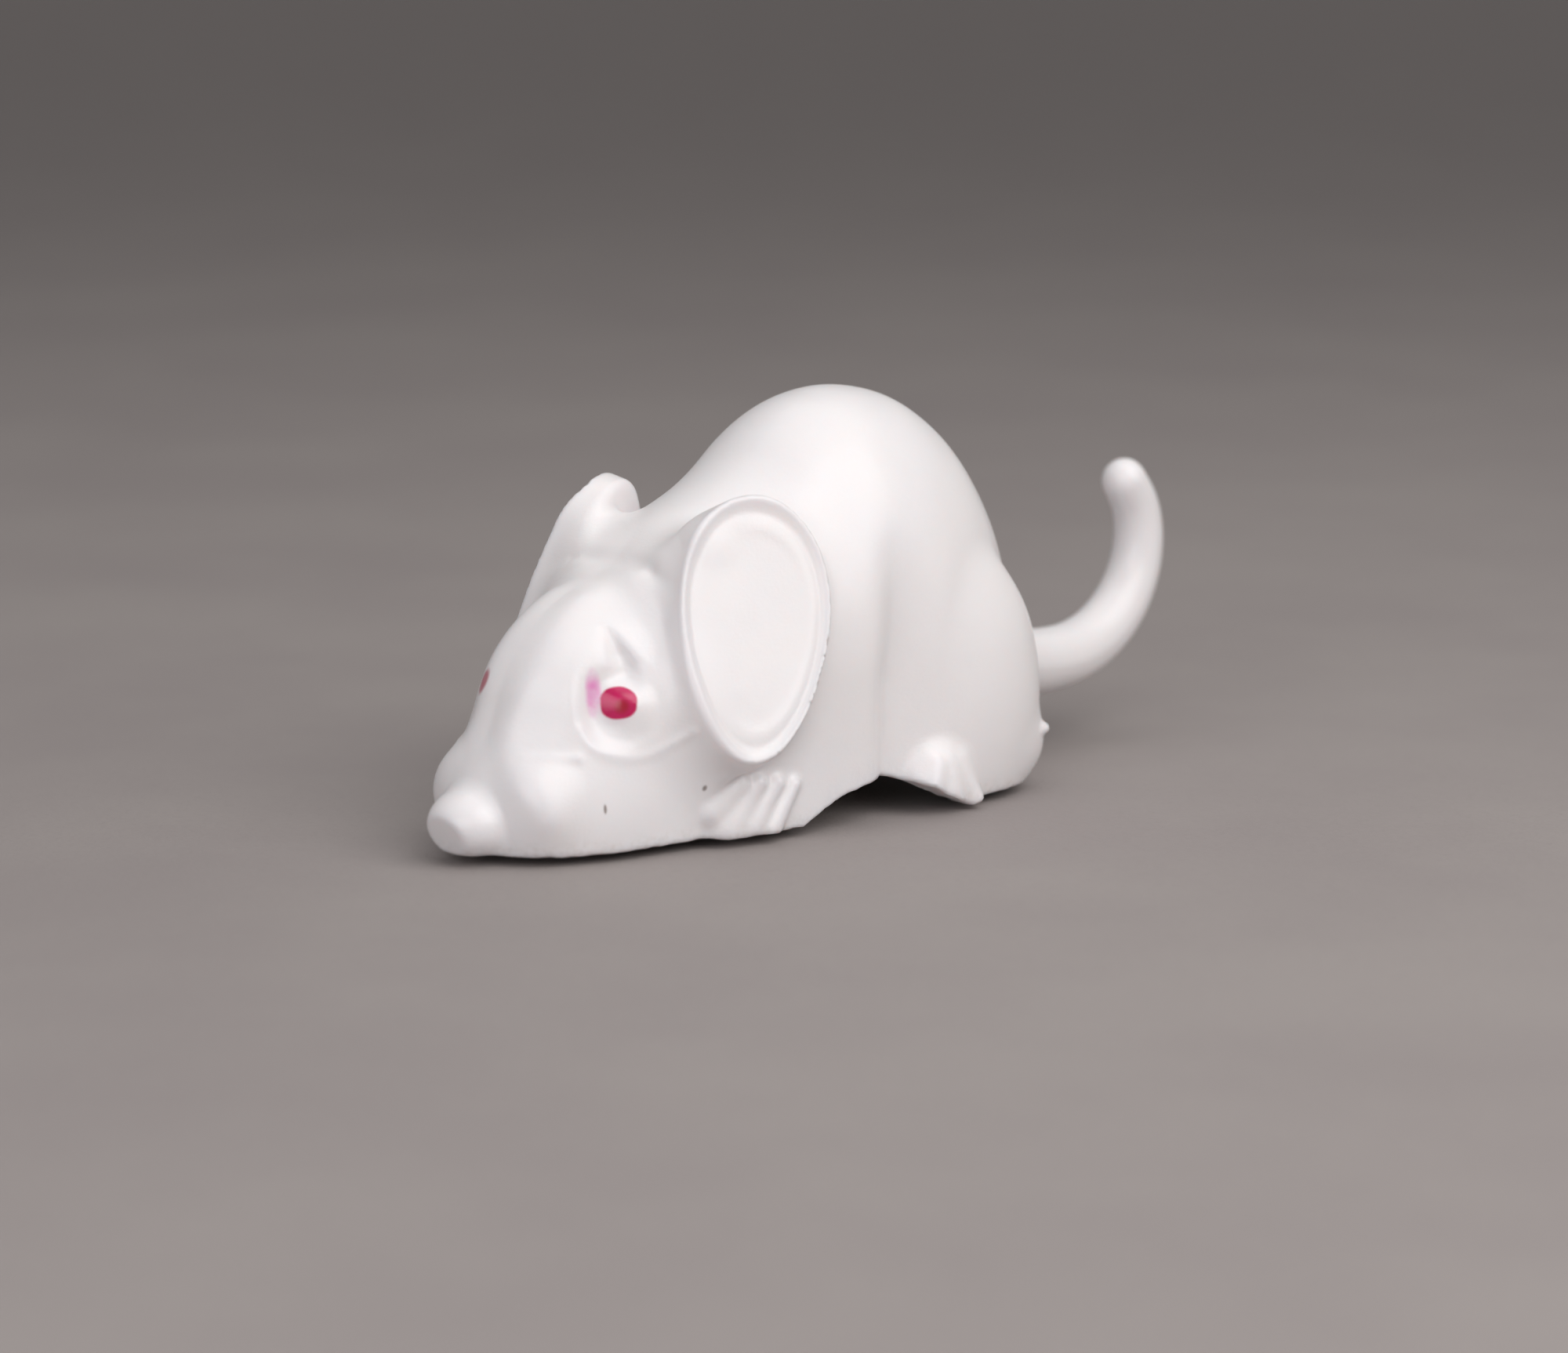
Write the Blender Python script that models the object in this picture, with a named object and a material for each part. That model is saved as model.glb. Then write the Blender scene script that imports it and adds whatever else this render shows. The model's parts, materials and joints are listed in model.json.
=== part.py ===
"""Clockwork mouse: a hollow moulded body on a flat base, with a spring motor inside.

All sizes are in millimetres above the ground the toy stands on, with the mouse's nose
towards -Y, its tail towards +Y and its left side towards +X. Vertices are moved down by
RIDE and scaled to metres as each piece is made, so the origin is the middle of the base
plate's underside.
"""
import math
from itertools import permutations

import bmesh
import bpy
import numpy as np
from mathutils import Vector
from mathutils.geometry import tessellate_polygon

MM = 0.001
RIDE = 3.6            # the base plate's underside above the ground
WALL = 1.5            # body wall
CELL = 0.72           # grid the body's surface is sampled on, finer than the wall
BODY_TRIANGLES = 4300

# motor: module, pressure angle and centres of the three shafts as (y, z)
MODULE = 0.5
PRESSURE = math.radians(20.0)
BACKLASH = 0.14
GREAT_TEETH = 36
SECOND_TEETH = 24
PINION_TEETH = 12
GREAT = (-0.3, 17.26)
SECOND = (11.3, 14.19)
DRIVE = (11.7, 5.2)
PILLARS = [(-11.1, 15.3), (9.0, 22.9), (-4.0, 6.9), (15.9, 8.1)]
PLATE_IN = 6.5
PLATE_OUT = 7.3
TABS = [-2.6, 3.4]    # y of the two tabs under each frame plate
TAB_HALF = 1.0

# base plate and running gear
BASE_BOTTOM = 3.6
BASE_TOP = 4.8
BASE_REAR = 5.6
FRONT_AXLE = (-14.0, 3.4)
SCREWS = {"front": (0.0, -21.6), "left": (8.2, -9.9), "right": (-8.2, -9.9)}
BOSS_GAP = 0.14       # between the screw columns and the base plate
TAIL_ROOT = 22.3
TAIL_HEIGHT = 8.8
EAR = (10.8, -14.0, 17.4)
HAUNCH_DEPTH = 1.8     # of the hollow ahead of each thigh


# ---------------------------------------------------------------- body form

def length(v):
    return np.sqrt((v * v).sum(axis=-1))


def ellipsoid(p, centre, radii):
    """Rounded distance to an ellipsoid."""
    q = (p - np.array(centre, float)) / np.array(radii, float)
    k0 = length(q)
    k1 = length(q / np.array(radii, float))
    return k0 * (k0 - 1.0) / np.maximum(k1, 1e-9)


def dome(p, centre, radii):
    """An ellipsoid above its centre, with upright walls below it."""
    q = p.copy()
    q[..., 2] = np.maximum(q[..., 2], centre[2])
    return ellipsoid(q, centre, radii)


def blend(a, b, k):
    """Union of two forms with a fillet of about k."""
    h = np.maximum(k - np.abs(a - b), 0.0) / k
    return np.minimum(a, b) - h * h * k * 0.25


def turned(p, centre, axis, degrees):
    """The points as seen by a form turned about its own centre."""
    first, second = {"x": (1, 2), "y": (2, 0), "z": (0, 1)}[axis]
    q = p - np.array(centre, float)
    cos, sin = math.cos(math.radians(degrees)), math.sin(math.radians(degrees))
    out = q.copy()
    out[..., first] = cos * q[..., first] + sin * q[..., second]
    out[..., second] = -sin * q[..., first] + cos * q[..., second]
    return out + np.array(centre, float)


def mirrored(p):
    q = p.copy()
    q[..., 0] = np.abs(q[..., 0])
    return q


def line_distance(p, points):
    """Distance to a line through the points, and how far along it the nearest place is, 0 to 1."""
    best = np.full(p.shape[:-1], 1e9)
    place = np.zeros(p.shape[:-1])
    for i, (a, b) in enumerate(zip(np.array(points[:-1], float), np.array(points[1:], float))):
        t = np.clip((p - a) @ (b - a) / ((b - a) @ (b - a)), 0.0, 1.0)
        d = length(p - a - t[..., None] * (b - a))
        nearer = d < best
        best = np.where(nearer, d, best)
        place = np.where(nearer, (i + t) / (len(points) - 1), place)
    return best, place


def trunk(p):
    """Hump, chest, head and haunches, pressed in ahead of the thighs; the wall follows it inside."""
    m = mirrored(p)
    d = dome(p, (0, 5.0, 12.5), (13.5, 17.5, 22.2))
    d = blend(d, dome(p, (0, -8, 12.5), (12, 15, 14.4)), 4.0)
    d = blend(d, dome(p, (0, -18, 8), (9.6, 14.2, 13.6)), 1.6)
    d = blend(d, ellipsoid(p, (0, -25.2, 3.4), (8.4, 9.8, 8.6)), 2.0)
    d = blend(d, ellipsoid(m, (9.5, 11.7, 8.5), (5.1, 8.0, 12.5)), 1.4)
    behind = m[..., 1] - 0.8 - 0.1 * np.maximum(m[..., 2] - 12.0, 0.0)
    width = np.where(behind < 0.0, 1.5, 3.6)
    low = np.clip((27.0 - m[..., 2]) / 16.0, 0.0, 1.0)
    fade = low * low * (3.0 - 2.0 * low)
    return d + HAUNCH_DEPTH * fade * np.exp(-(behind / width) ** 2)


def egg(q, half_width, half_height):
    """Distance to an oval outline that narrows towards the cheek."""
    height = q[..., 2] / half_height
    wide = half_width * (1.0 + 0.18 * np.clip(height, -1.3, 1.3))
    return (np.hypot(height, q[..., 1] / wide) - 1.0) * half_width


def ears(m):
    """Plates standing out from the head, each with a shallow dish in its outer face."""
    q = turned(turned(turned(m, EAR, "x", -9), EAR, "z", -22), EAR, "y", -14) - np.array(EAR)
    plate = -blend(-egg(q, 6.4, 10.9), 1.3 - np.abs(q[..., 0]), 1.1)
    dish = blend(-egg(q, 5.4, 9.8), q[..., 0] - 0.7, 0.8)
    root = line_distance(m, [(4.2, -16.6, 19.8), (6.9, -15.4, 23.6)])
    root = root[0] - 2.6 + 1.7 * root[1]
    return blend(plate, root, 3.0), dish


def snout(p, m):
    """Lips and a nose whose tip is cut flat."""
    lips = ellipsoid(m, (3.1, -29.9, 4.4), (4.3, 4.0, 4.8))
    nose = ellipsoid(p, (0, -33.6, 3.1), (3.7, 4.2, 3.0))
    tip = (p - np.array((0.0, -37.0, 2.6))) @ np.array((0.0, -0.93, -0.37))
    return blend(lips, -blend(-nose, -tip, 0.25), 0.35)


def outside(p):
    """The whole outer form of the body, open below."""
    m = mirrored(p)
    ear, dish = ears(m)
    d = np.maximum(blend(trunk(p), ear, 1.7), dish)
    d = blend(d, snout(p, m), 0.9)
    d = blend(d, ellipsoid(m, (9.8, -13.6, 2.2), (2.3, 4.4, 3.4)), 1.0)
    d = blend(d, ellipsoid(m, (12.3, 7.7, 1.9), (2.6, 4.0, 4.7)), 1.0)
    return blend(d, ellipsoid(m, (10.6, 16.2, 4.2), (2.4, 3.6, 3.2)), 1.5)


def rim(p):
    """Height of the body's bottom edge, raised in an arch at the belly and at the rump."""
    y = p[..., 1]
    arch = np.sqrt(np.clip(1.0 - ((y - 1.0) / 8.5) ** 2, 0.0, None))
    return 0.8 + 2.8 * arch + 0.35 * np.clip(y - 17.0, 0.0, None) - 0.5 * np.exp(-((y - 8.6) / 3.2) ** 2)


def pillar_z(p, centre, radius, low, high):
    side = np.hypot(p[..., 0] - centre[0], p[..., 1] - centre[1]) - radius
    return np.maximum(side, np.maximum(low - p[..., 2], p[..., 2] - high))


def bosses(p):
    """Screw columns under the roof and the thick seat for the tail."""
    d = pillar_z(p, SCREWS["front"], 1.9, BASE_TOP + BOSS_GAP, 30.0)
    for side in ("left", "right"):
        d = np.minimum(d, pillar_z(p, SCREWS[side], 1.8, BASE_TOP + BOSS_GAP, 8.4))
        web = np.maximum(np.abs(p[..., 1] - SCREWS[side][1]) - 0.7, 8.2 - np.abs(p[..., 0]))
        web = np.maximum(web, np.maximum(BASE_TOP + BOSS_GAP - p[..., 2], p[..., 2] - 8.4))
        d = np.minimum(d, web)
    seat = np.hypot(p[..., 0], p[..., 2] - TAIL_HEIGHT) - 3.8
    d = np.minimum(d, np.maximum(seat, 19.4 - p[..., 1]))
    return np.maximum(d, outside(p) + 0.4)


def shell(p):
    wall = np.maximum(outside(p), -(trunk(p) + WALL))
    wall = np.minimum(wall, bosses(p))
    return np.maximum(wall, (rim(p) - p[..., 2]) * 0.8)


# ---------------------------------------------------------------- meshing

def tetra_surface(field, low, high, cell):
    """Closed surface of a field's zero level, from a grid of cubes each split into six tetrahedra."""
    axes = [np.arange(a, b + cell, cell) for a, b in zip(low, high)]
    grid = np.stack(np.meshgrid(*axes, indexing="ij"), axis=-1)
    value = field(grid)
    value = np.where(np.abs(value) < 0.03 * cell, np.where(value < 0, -0.03, 0.03) * cell, value)
    index = np.arange(value.size).reshape(value.shape)
    tetra = np.concatenate([tetrahedra(index, order) for order in permutations(range(3))])
    inside = value.ravel()[tetra] < 0
    kept = inside.any(axis=1) & ~inside.all(axis=1)
    tetra, inside = tetra[kept], inside[kept]
    tetra = np.take_along_axis(tetra, np.argsort(~inside, axis=1, kind="stable"), axis=1)
    number = inside.sum(axis=1)
    parts = []
    cases = ((1, (0, 1, 0, 2, 0, 3)), (3, (0, 3, 1, 3, 2, 3)),
             (2, (0, 2, 0, 3, 1, 3)), (2, (0, 2, 1, 3, 1, 2)))
    for n, edges in cases:
        parts.append(tetra[number == n][:, edges].reshape(-1, 3, 2))
    ends = np.sort(np.concatenate(parts), axis=2)
    keys, faces = np.unique(ends[..., 0] * value.size + ends[..., 1], return_inverse=True)
    first, second = keys // value.size, keys % value.size
    va, vb = value.ravel()[first], value.ravel()[second]
    share = (va / (va - vb))[:, None]
    points = grid.reshape(-1, 3)
    return points[first] * (1 - share) + points[second] * share, faces.reshape(-1, 3)


def tetrahedra(index, order):
    """One tetrahedron of every cube, along the cube's edges taken in the given order."""
    corner = [0, 0, 0]
    ends = []
    for axis in (None,) + tuple(order):
        if axis is not None:
            corner[axis] = 1
        window = tuple(slice(c, n - 1 + c) for c, n in zip(corner, index.shape))
        ends.append(index[window].ravel())
    return np.stack(ends, axis=1)


def slope(field, points, step=0.02):
    """Gradient of a field by central differences."""
    out = np.zeros_like(points)
    for axis in range(3):
        shift = np.zeros(3)
        shift[axis] = step
        out[:, axis] = (field(points + shift) - field(points - shift)) / (2 * step)
    return out


def relaxed(verts, faces, field, rounds):
    """Vertices spread evenly over the field's zero level."""
    edges = np.concatenate([faces[:, (0, 1)], faces[:, (1, 2)], faces[:, (2, 0)]])
    count = np.zeros(len(verts))
    np.add.at(count, edges[:, 0], 1)
    for _ in range(rounds):
        total = np.zeros_like(verts)
        np.add.at(total, edges[:, 0], verts[edges[:, 1]])
        verts = verts + 0.5 * (total / count[:, None] - verts)
        way = slope(field, verts)
        step = (field(verts) / np.maximum((way * way).sum(axis=1), 0.2))[:, None] * way
        verts = verts - step * np.minimum(1.0, 0.3 / np.maximum(length(step), 1e-9))[:, None]
    return verts


def make(name, verts, faces):
    """One piece, from millimetres above the ground to metres in the frame."""
    mesh = bpy.data.meshes.new(name)
    shifted = [(x * MM, y * MM, (z - RIDE) * MM) for x, y, z in verts]
    mesh.from_pydata(shifted, [], [tuple(int(i) for i in f) for f in faces])
    mesh.validate()
    mesh.update()
    thing = bpy.data.objects.new(name, mesh)
    bpy.context.scene.collection.objects.link(thing)
    return thing


def apply_modifiers(thing):
    graph = bpy.context.evaluated_depsgraph_get()
    mesh = bpy.data.meshes.new_from_object(thing.evaluated_get(graph))
    thing.modifiers.clear()
    old = thing.data
    thing.data = mesh
    mesh.name = thing.name
    bpy.data.meshes.remove(old)
    return thing


def joined(thing, tool, operation):
    """Boolean of a piece with a tool solid, which is then thrown away."""
    step = thing.modifiers.new(operation.lower(), "BOOLEAN")
    step.operation = operation
    step.solver = "EXACT"
    step.object = tool
    apply_modifiers(thing)
    bpy.data.objects.remove(tool)
    return thing


def cut(thing, tool):
    return joined(thing, tool, "DIFFERENCE")


def add(thing, tool):
    return joined(thing, tool, "UNION")


# ---------------------------------------------------------------- simple solids

def along_x(a, y, z):
    return (a, y, z)


def along_y(a, y, z):
    return (y, a, z)


def along_z(a, y, z):
    return (y, z, a)


def lathe(name, profile, centre, segments, place=along_x):
    """Turned piece: profile is (along, radius) pairs, anticlockwise, open where it meets the axis."""
    solid = profile[0][1] < 1e-6
    verts, rings = [], []
    for along, radius in profile:
        if radius < 1e-6:
            rings.append([len(verts)])
            verts.append(place(along, *centre))
            continue
        rings.append(list(range(len(verts), len(verts) + segments)))
        for i in range(segments):
            t = 2 * math.pi * i / segments
            verts.append(place(along, centre[0] + radius * math.cos(t), centre[1] + radius * math.sin(t)))
    faces = []
    pairs = list(zip(rings, rings[1:])) + ([] if solid else [(rings[-1], rings[0])])
    for a, b in pairs:
        for i in range(segments):
            j = (i + 1) % segments
            loop = [a[i % len(a)], a[j % len(a)], b[j % len(b)], b[i % len(b)]]
            loop = [v for n, v in enumerate(loop) if v != loop[n - 1]]
            if len(loop) > 2:
                faces.append(loop)
    return outward(make(name, verts, faces))


def outward(thing):
    """Faces pointing out of the solid."""
    work = bmesh.new()
    work.from_mesh(thing.data)
    bmesh.ops.recalc_face_normals(work, faces=work.faces)
    if work.calc_volume(signed=True) < 0:
        bmesh.ops.reverse_faces(work, faces=work.faces)
    work.to_mesh(thing.data)
    work.free()
    return thing


def prism(name, outline, low, high, holes=(), place=along_x):
    """Flat piece: an outline with holes, drawn across the axis and carried from low to high."""
    loops = [list(outline)] + [list(h) for h in holes]
    flat = [point for loop in loops for point in loop]
    n = len(flat)
    verts = [place(low, *p) for p in flat] + [place(high, *p) for p in flat]
    faces = []
    for a, b, c in tessellate_polygon([[Vector((p[0], p[1], 0)) for p in loop] for loop in loops]):
        faces.append((a, b, c))
        faces.append((c + n, b + n, a + n))
    start = 0
    for loop in loops:
        for i in range(len(loop)):
            j = (i + 1) % len(loop)
            faces.append((start + i, start + j, start + j + n, start + i + n))
        start += len(loop)
    return outward(make(name, verts, faces))


def circle(centre, radius, segments=24, phase=0.0):
    steps = [2 * math.pi * i / segments + phase for i in range(segments)]
    return [(centre[0] + radius * math.cos(t), centre[1] + radius * math.sin(t)) for t in steps]


def rectangle(low, high):
    return [(low[0], low[1]), (high[0], low[1]), (high[0], high[1]), (low[0], high[1])]


def hull(points):
    """Convex outline of points in the plane, anticlockwise."""
    points = sorted(set(points))

    def half(sequence):
        chain = []
        for p in sequence:
            while len(chain) > 1 and turn(chain[-2], chain[-1], p) <= 1e-9:
                chain.pop()
            chain.append(p)
        return chain[:-1]

    return half(points) + half(points[::-1])


def turn(a, b, c):
    return (b[0] - a[0]) * (c[1] - a[1]) - (b[1] - a[1]) * (c[0] - a[0])


def sweep(name, path, radii, segments):
    """Round bar along a path in the mid-plane, with a radius at each point."""
    path = [np.array(p, float) for p in path]
    verts, faces = [], []
    for i, point in enumerate(path):
        ahead = path[min(i + 1, len(path) - 1)] - path[max(i - 1, 0)]
        ahead = ahead / np.linalg.norm(ahead)
        side = np.array([1.0, 0.0, 0.0])
        up = np.cross(side, ahead)
        for j in range(segments):
            t = 2 * math.pi * j / segments
            verts.append(point + radii[i] * (math.cos(t) * side + math.sin(t) * up))
    for i in range(len(path) - 1):
        for j in range(segments):
            k = (j + 1) % segments
            a, b = i * segments, (i + 1) * segments
            faces.append((a + j, a + k, b + k, b + j))
    faces.append(tuple(range(segments))[::-1])
    faces.append(tuple(range(len(verts) - segments, len(verts))))
    return outward(make(name, verts, faces))


# ---------------------------------------------------------------- gears

def involute(angle):
    return math.tan(angle) - angle


def gear_outline(centre, teeth, phase):
    """Involute gear with a tooth centred on the direction phase."""
    pitch = MODULE * teeth / 2
    base = pitch * math.cos(PRESSURE)
    tip = pitch + 0.85 * MODULE
    root = pitch - 1.1 * MODULE
    half_base = math.pi / (2 * teeth) + involute(PRESSURE) - BACKLASH / (4 * pitch)
    flank = []
    for r in np.linspace(max(base, root), tip, 3):
        flank.append((r, half_base - involute(math.acos(min(1.0, base / r)))))
    if root < base - 0.1:
        flank.insert(0, (root, half_base - 0.25 * half_base))
    points = []
    for tooth in range(teeth):
        middle = phase + 2 * math.pi * tooth / teeth
        for r, t in flank:
            points.append((r, middle - t))
        for r, t in flank[::-1]:
            points.append((r, middle + t))
    return [(centre[0] + r * math.cos(t), centre[1] + r * math.sin(t)) for r, t in points]


def towards(a, b):
    return math.atan2(b[1] - a[1], b[0] - a[0])


def gear(name, centre, teeth, phase, low, high, bore, windows=()):
    holes = [circle(centre, bore, 24)] + list(windows)
    return prism(name, gear_outline(centre, teeth, phase), low, high, holes)


def crossings(centre, inner, outer, spokes, share, phase=0.0):
    """Windows between the spokes of a wheel."""
    loops = []
    for i in range(spokes):
        middle = phase + 2 * math.pi * i / spokes
        half = math.pi / spokes * share
        steps = np.linspace(-half, half, 5)
        far = [(outer, middle + s) for s in steps]
        near = [(inner, middle + s * 0.8) for s in steps[::-1]]
        loops.append([(centre[0] + r * math.cos(t), centre[1] + r * math.sin(t)) for r, t in far + near])
    return loops


# ---------------------------------------------------------------- pieces

def make_body():
    verts, faces = tetra_surface(shell, (-17, -40.0, -1.5), (17, 26.5, 38), CELL)
    verts = relaxed(verts, faces, shell, 5)
    thing = outward(make("body_shell", verts, faces))
    thin = thing.modifiers.new("thin", "DECIMATE")
    thin.ratio = BODY_TRIANGLES / len(thing.data.polygons)
    apply_modifiers(thing)
    cut(thing, lathe("tool", [(-22, 0), (-22, 2.7), (-8, 2.7), (-8, 0)], GREAT, 32))
    for x, y in SCREWS.values():
        cut(thing, lathe("tool", [(3.0, 0), (3.0, 1.0), (7.9, 1.0), (7.9, 0)], (x, y), 20, along_z))
    seat = [(18.0, 0), (18.0, 1.75), (TAIL_ROOT, 1.75), (TAIL_ROOT, 3.5), (28.0, 3.5), (28.0, 0)]
    cut(thing, lathe("tool", seat, (0, TAIL_HEIGHT), 32, along_y))
    return thing


def make_tail():
    ends = [(TAIL_ROOT - 2.4, TAIL_HEIGHT), (TAIL_ROOT + 0.05, TAIL_HEIGHT)]
    bend = [(TAIL_ROOT + 0.06, 8.8), (23.6, 8.8), (26.4, 8.4), (29.6, 7.9), (33.0, 7.8), (36.0, 8.1), (38.8, 9.0),
            (41.2, 10.5), (43.2, 12.6), (44.5, 15.2), (44.9, 18.0), (44.4, 20.6), (43.0, 22.8), (41.4, 24.4)]
    path = [(0, y, z) for y, z in ends + bend]
    radii = [1.7, 1.7] + list(np.linspace(3.35, 2.05, len(bend) - 1)) + [1.1]
    return sweep("tail", path, radii, 20)


def base_outline():
    """The body's inner wall at the base plate's height, less a small gap."""
    points = []
    for y in np.linspace(-31.0, BASE_REAR, 26):
        xs = np.linspace(0.0, 16.0, 1601)
        row = np.stack([xs, np.full_like(xs, y), np.full_like(xs, BASE_TOP)], axis=-1)
        low = row.copy()
        low[:, 2] = BASE_BOTTOM
        room = np.maximum(trunk(row), trunk(low)) + WALL + 0.45
        free = xs[room < 0]
        if len(free) and free[-1] > 1.5:
            points.append((float(free[-1]), float(y)))
    return points + [(-x, y) for x, y in points[::-1]]


def make_base():
    window = rectangle((-6.1, -18.2), (6.1, -9.8))
    slots = []
    for side in (-1, 1):
        middle = side * (PLATE_IN + PLATE_OUT) / 2
        half = (PLATE_OUT - PLATE_IN) / 2 + 0.1
        for y in TABS:
            slots.append(rectangle((middle - half, y - TAB_HALF - 0.1), (middle + half, y + TAB_HALF + 0.1)))
    holes = [circle(at, 1.15, 20) for at in SCREWS.values()]
    plate = prism("base_plate", base_outline(), BASE_BOTTOM, BASE_TOP, [window] + slots + holes, along_z)
    y, z = FRONT_AXLE
    for side in (-1, 1):
        near, far = (6.1, 7.3) if side > 0 else (-7.3, -6.1)
        edge = [(y - 1.9, BASE_TOP - 0.2), (y - 1.9, z)]
        lower = np.linspace(math.pi, 2 * math.pi, 9)[1:-1]
        edge += [(y + 1.9 * math.cos(t), z + 1.9 * math.sin(t)) for t in lower]
        edge += [(y + 1.9, z), (y + 1.9, BASE_TOP - 0.2)]
        add(plate, prism("tool", edge, near + 0.001, far, [], along_x))
    return cut(plate, lathe("tool", [(-9, 0), (-9, 0.86), (9, 0.86), (9, 0)], FRONT_AXLE, 20))


def make_screw(where):
    x, y = SCREWS[where]
    head = BASE_BOTTOM - 0.05
    profile = [(head - 0.9, 0), (head - 0.9, 1.2), (head - 0.5, 1.75), (head, 1.75), (head, 0.93), (7.3, 0.93),
               (7.75, 0.4), (7.75, 0)]
    screw = lathe("base_screw_" + where, profile, (x, y), 20, along_z)
    for a, b in ((1.3, 0.17), (0.17, 1.3)):
        slot = prism("tool", rectangle((x - a, y - b), (x + a, y + b)), head - 1.5, head - 0.45, [], along_z)
        cut(screw, slot)
    return screw


def plate_outline():
    spread = []
    for centre, radius in [(GREAT, 7.2), (SECOND, 3.6), (DRIVE, 2.9)] + [(p, 1.9) for p in PILLARS]:
        spread += circle(centre, radius, 28)
    outline = hull(spread)
    floor = BASE_TOP + 0.08
    tabs = []
    for y in TABS:
        tabs += [(y - TAB_HALF, floor), (y - TAB_HALF, 2.9), (y + TAB_HALF, 2.9), (y + TAB_HALF, floor)]
    return outline, tabs, floor


def make_frame_plate(name, low, high):
    outline, tabs, floor = plate_outline()
    above = [p for p in outline if p[1] > floor or p[0] > BASE_REAR + 0.4]
    start = min(range(len(above)), key=lambda i: (above[i][0] > 0, above[i][1]))
    ring = above[start:] + above[:start]
    front = [p for p in ring if p[0] < TABS[0] - TAB_HALF and p[1] < 12]
    rest = [p for p in ring if p not in front]
    foot = [(TABS[0] - TAB_HALF - 0.6, floor)] + tabs + [(BASE_REAR + 0.3, floor)]
    order = sorted(front, key=lambda p: p[0]) + foot + rest_after(rest)
    holes = [circle(GREAT, 1.07, 20), circle(SECOND, 0.77, 20), circle(DRIVE, 1.07, 20)]
    holes += [circle(p, 0.75, 16) for p in PILLARS]
    return prism(name, order, low, high, holes)


def rest_after(points):
    """The plate's rear, top and front edge, anticlockwise from its lowest rear corner."""
    centre = (2.5, 14.0)
    def angle(p):
        return (math.atan2(p[1] - centre[1], p[0] - centre[0]) + 1.35) % (2 * math.pi)

    return sorted(points, key=angle)


def make_pillar(index):
    end = PLATE_OUT + 0.35
    step = PLATE_IN - 0.04
    profile = [(-end, 0), (-end, 0.7), (-step, 0.7), (-step, 1.1),
               (step, 1.1), (step, 0.7), (end, 0.7), (end, 0)]
    return lathe(f"frame_pillar_{index + 1}", profile, PILLARS[index], 14)


def make_mainspring():
    turns, steps, thick = 6.5, 18, 0.13
    outer = towards(GREAT, PILLARS[0])
    count = int(turns * steps)
    centre_line = []
    for i in range(count + 1):
        share = i / count
        t = outer - 2 * math.pi * turns * (1 - share)
        centre_line.append((1.85 + 6.4 * share, t))
    last = centre_line[-1][1]
    for k, r in enumerate((8.45, 8.7, 9.05, 9.4)):
        centre_line.append((r, last + 0.05 + 0.05 * k))
    inner = [(r - thick, t) for r, t in centre_line]
    outside_edge = [(r + thick, t) for r, t in centre_line][::-1]
    loop = [(GREAT[0] + r * math.cos(t), GREAT[1] + r * math.sin(t)) for r, t in inner + outside_edge]
    return strip("mainspring", loop, -5.9, -0.5)


def strip(name, loop, low, high):
    """A ribbon: an outline whose two long edges run side by side, carried across the axis."""
    n = len(loop)
    verts = [along_x(low, *p) for p in loop] + [along_x(high, *p) for p in loop]
    faces = []
    for i in range(n):
        j = (i + 1) % n
        faces.append((i, j, j + n, i + n))
    for i in range(n // 2 - 1):
        a, b, c, d = i, i + 1, n - 2 - i, n - 1 - i
        faces.append((a, d, c, b))
        faces.append((a + n, b + n, c + n, d + n))
    return outward(make(name, verts, faces))


def ratchet_outline(centre, teeth, root, tip, phase):
    points = []
    for i in range(teeth):
        t = phase + 2 * math.pi * i / teeth
        step = 2 * math.pi / teeth
        points.append((root, t))
        points.append((root + 0.35 * (tip - root), t + 0.35 * step))
        points.append((root + 0.7 * (tip - root), t + 0.7 * step))
        points.append((tip, t + 0.97 * step))
    return [(centre[0] + r * math.cos(t), centre[1] + r * math.sin(t)) for r, t in points]


def make_arbor():
    end = PLATE_OUT + 1.0
    profile = [(-19.6, 0), (-19.6, 0.98), (-6.2, 0.98), (-6.2, 1.5),
               (3.9, 1.5), (3.9, 1.0), (end, 1.0), (end, 0)]
    arbor = lathe("winding_arbor", profile, GREAT, 24)
    y, z = GREAT
    for low, high in (((0.7, -3), (3, 3)), ((-3, -3), (-0.7, 3)), ((-3, 0.7), (3, 3)), ((-3, -3), (3, -0.7))):
        flat = rectangle((y + low[0], z + low[1]), (y + high[0], z + high[1]))
        cut(arbor, prism("tool", flat, -21, -11.8))
    return arbor


def make_key():
    profile = [(-20.6, 0), (-20.6, 1.4), (-20.0, 2.0), (-11.6, 2.0), (-11.6, 0)]
    barrel = lathe("winding_key", profile, GREAT, 28)
    wing = []
    for t in np.linspace(0, 2 * math.pi, 49)[:-1]:
        y = 6.3 * math.cos(t)
        waist = 1.0 - 0.3 * math.exp(-(y / 1.9) ** 2)
        wing.append((-18.6 + 2.9 * waist * math.sin(t), GREAT[0] + y))
    holes = [circle((-18.6, GREAT[0] + side * 3.9), 1.15, 18) for side in (-1, 1)]
    blade = prism("tool", wing, GREAT[1] - 0.5, GREAT[1] + 0.5, holes, along_z)
    add(barrel, blade)
    socket = rectangle((GREAT[0] - 0.75, GREAT[1] - 0.75), (GREAT[0] + 0.75, GREAT[1] + 0.75))
    cut(barrel, prism("tool", socket, -19.7, -11.7))
    return cut(barrel, lathe("tool", [(-12.0, 0), (-12.0, 1.06), (-11.0, 1.06), (-11.0, 0)], GREAT, 24))


def ring(name, centre, inner, outer, low, high, segments=24):
    return lathe(name, [(low, inner), (low, outer), (high, outer), (high, inner)], centre, segments)


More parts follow.
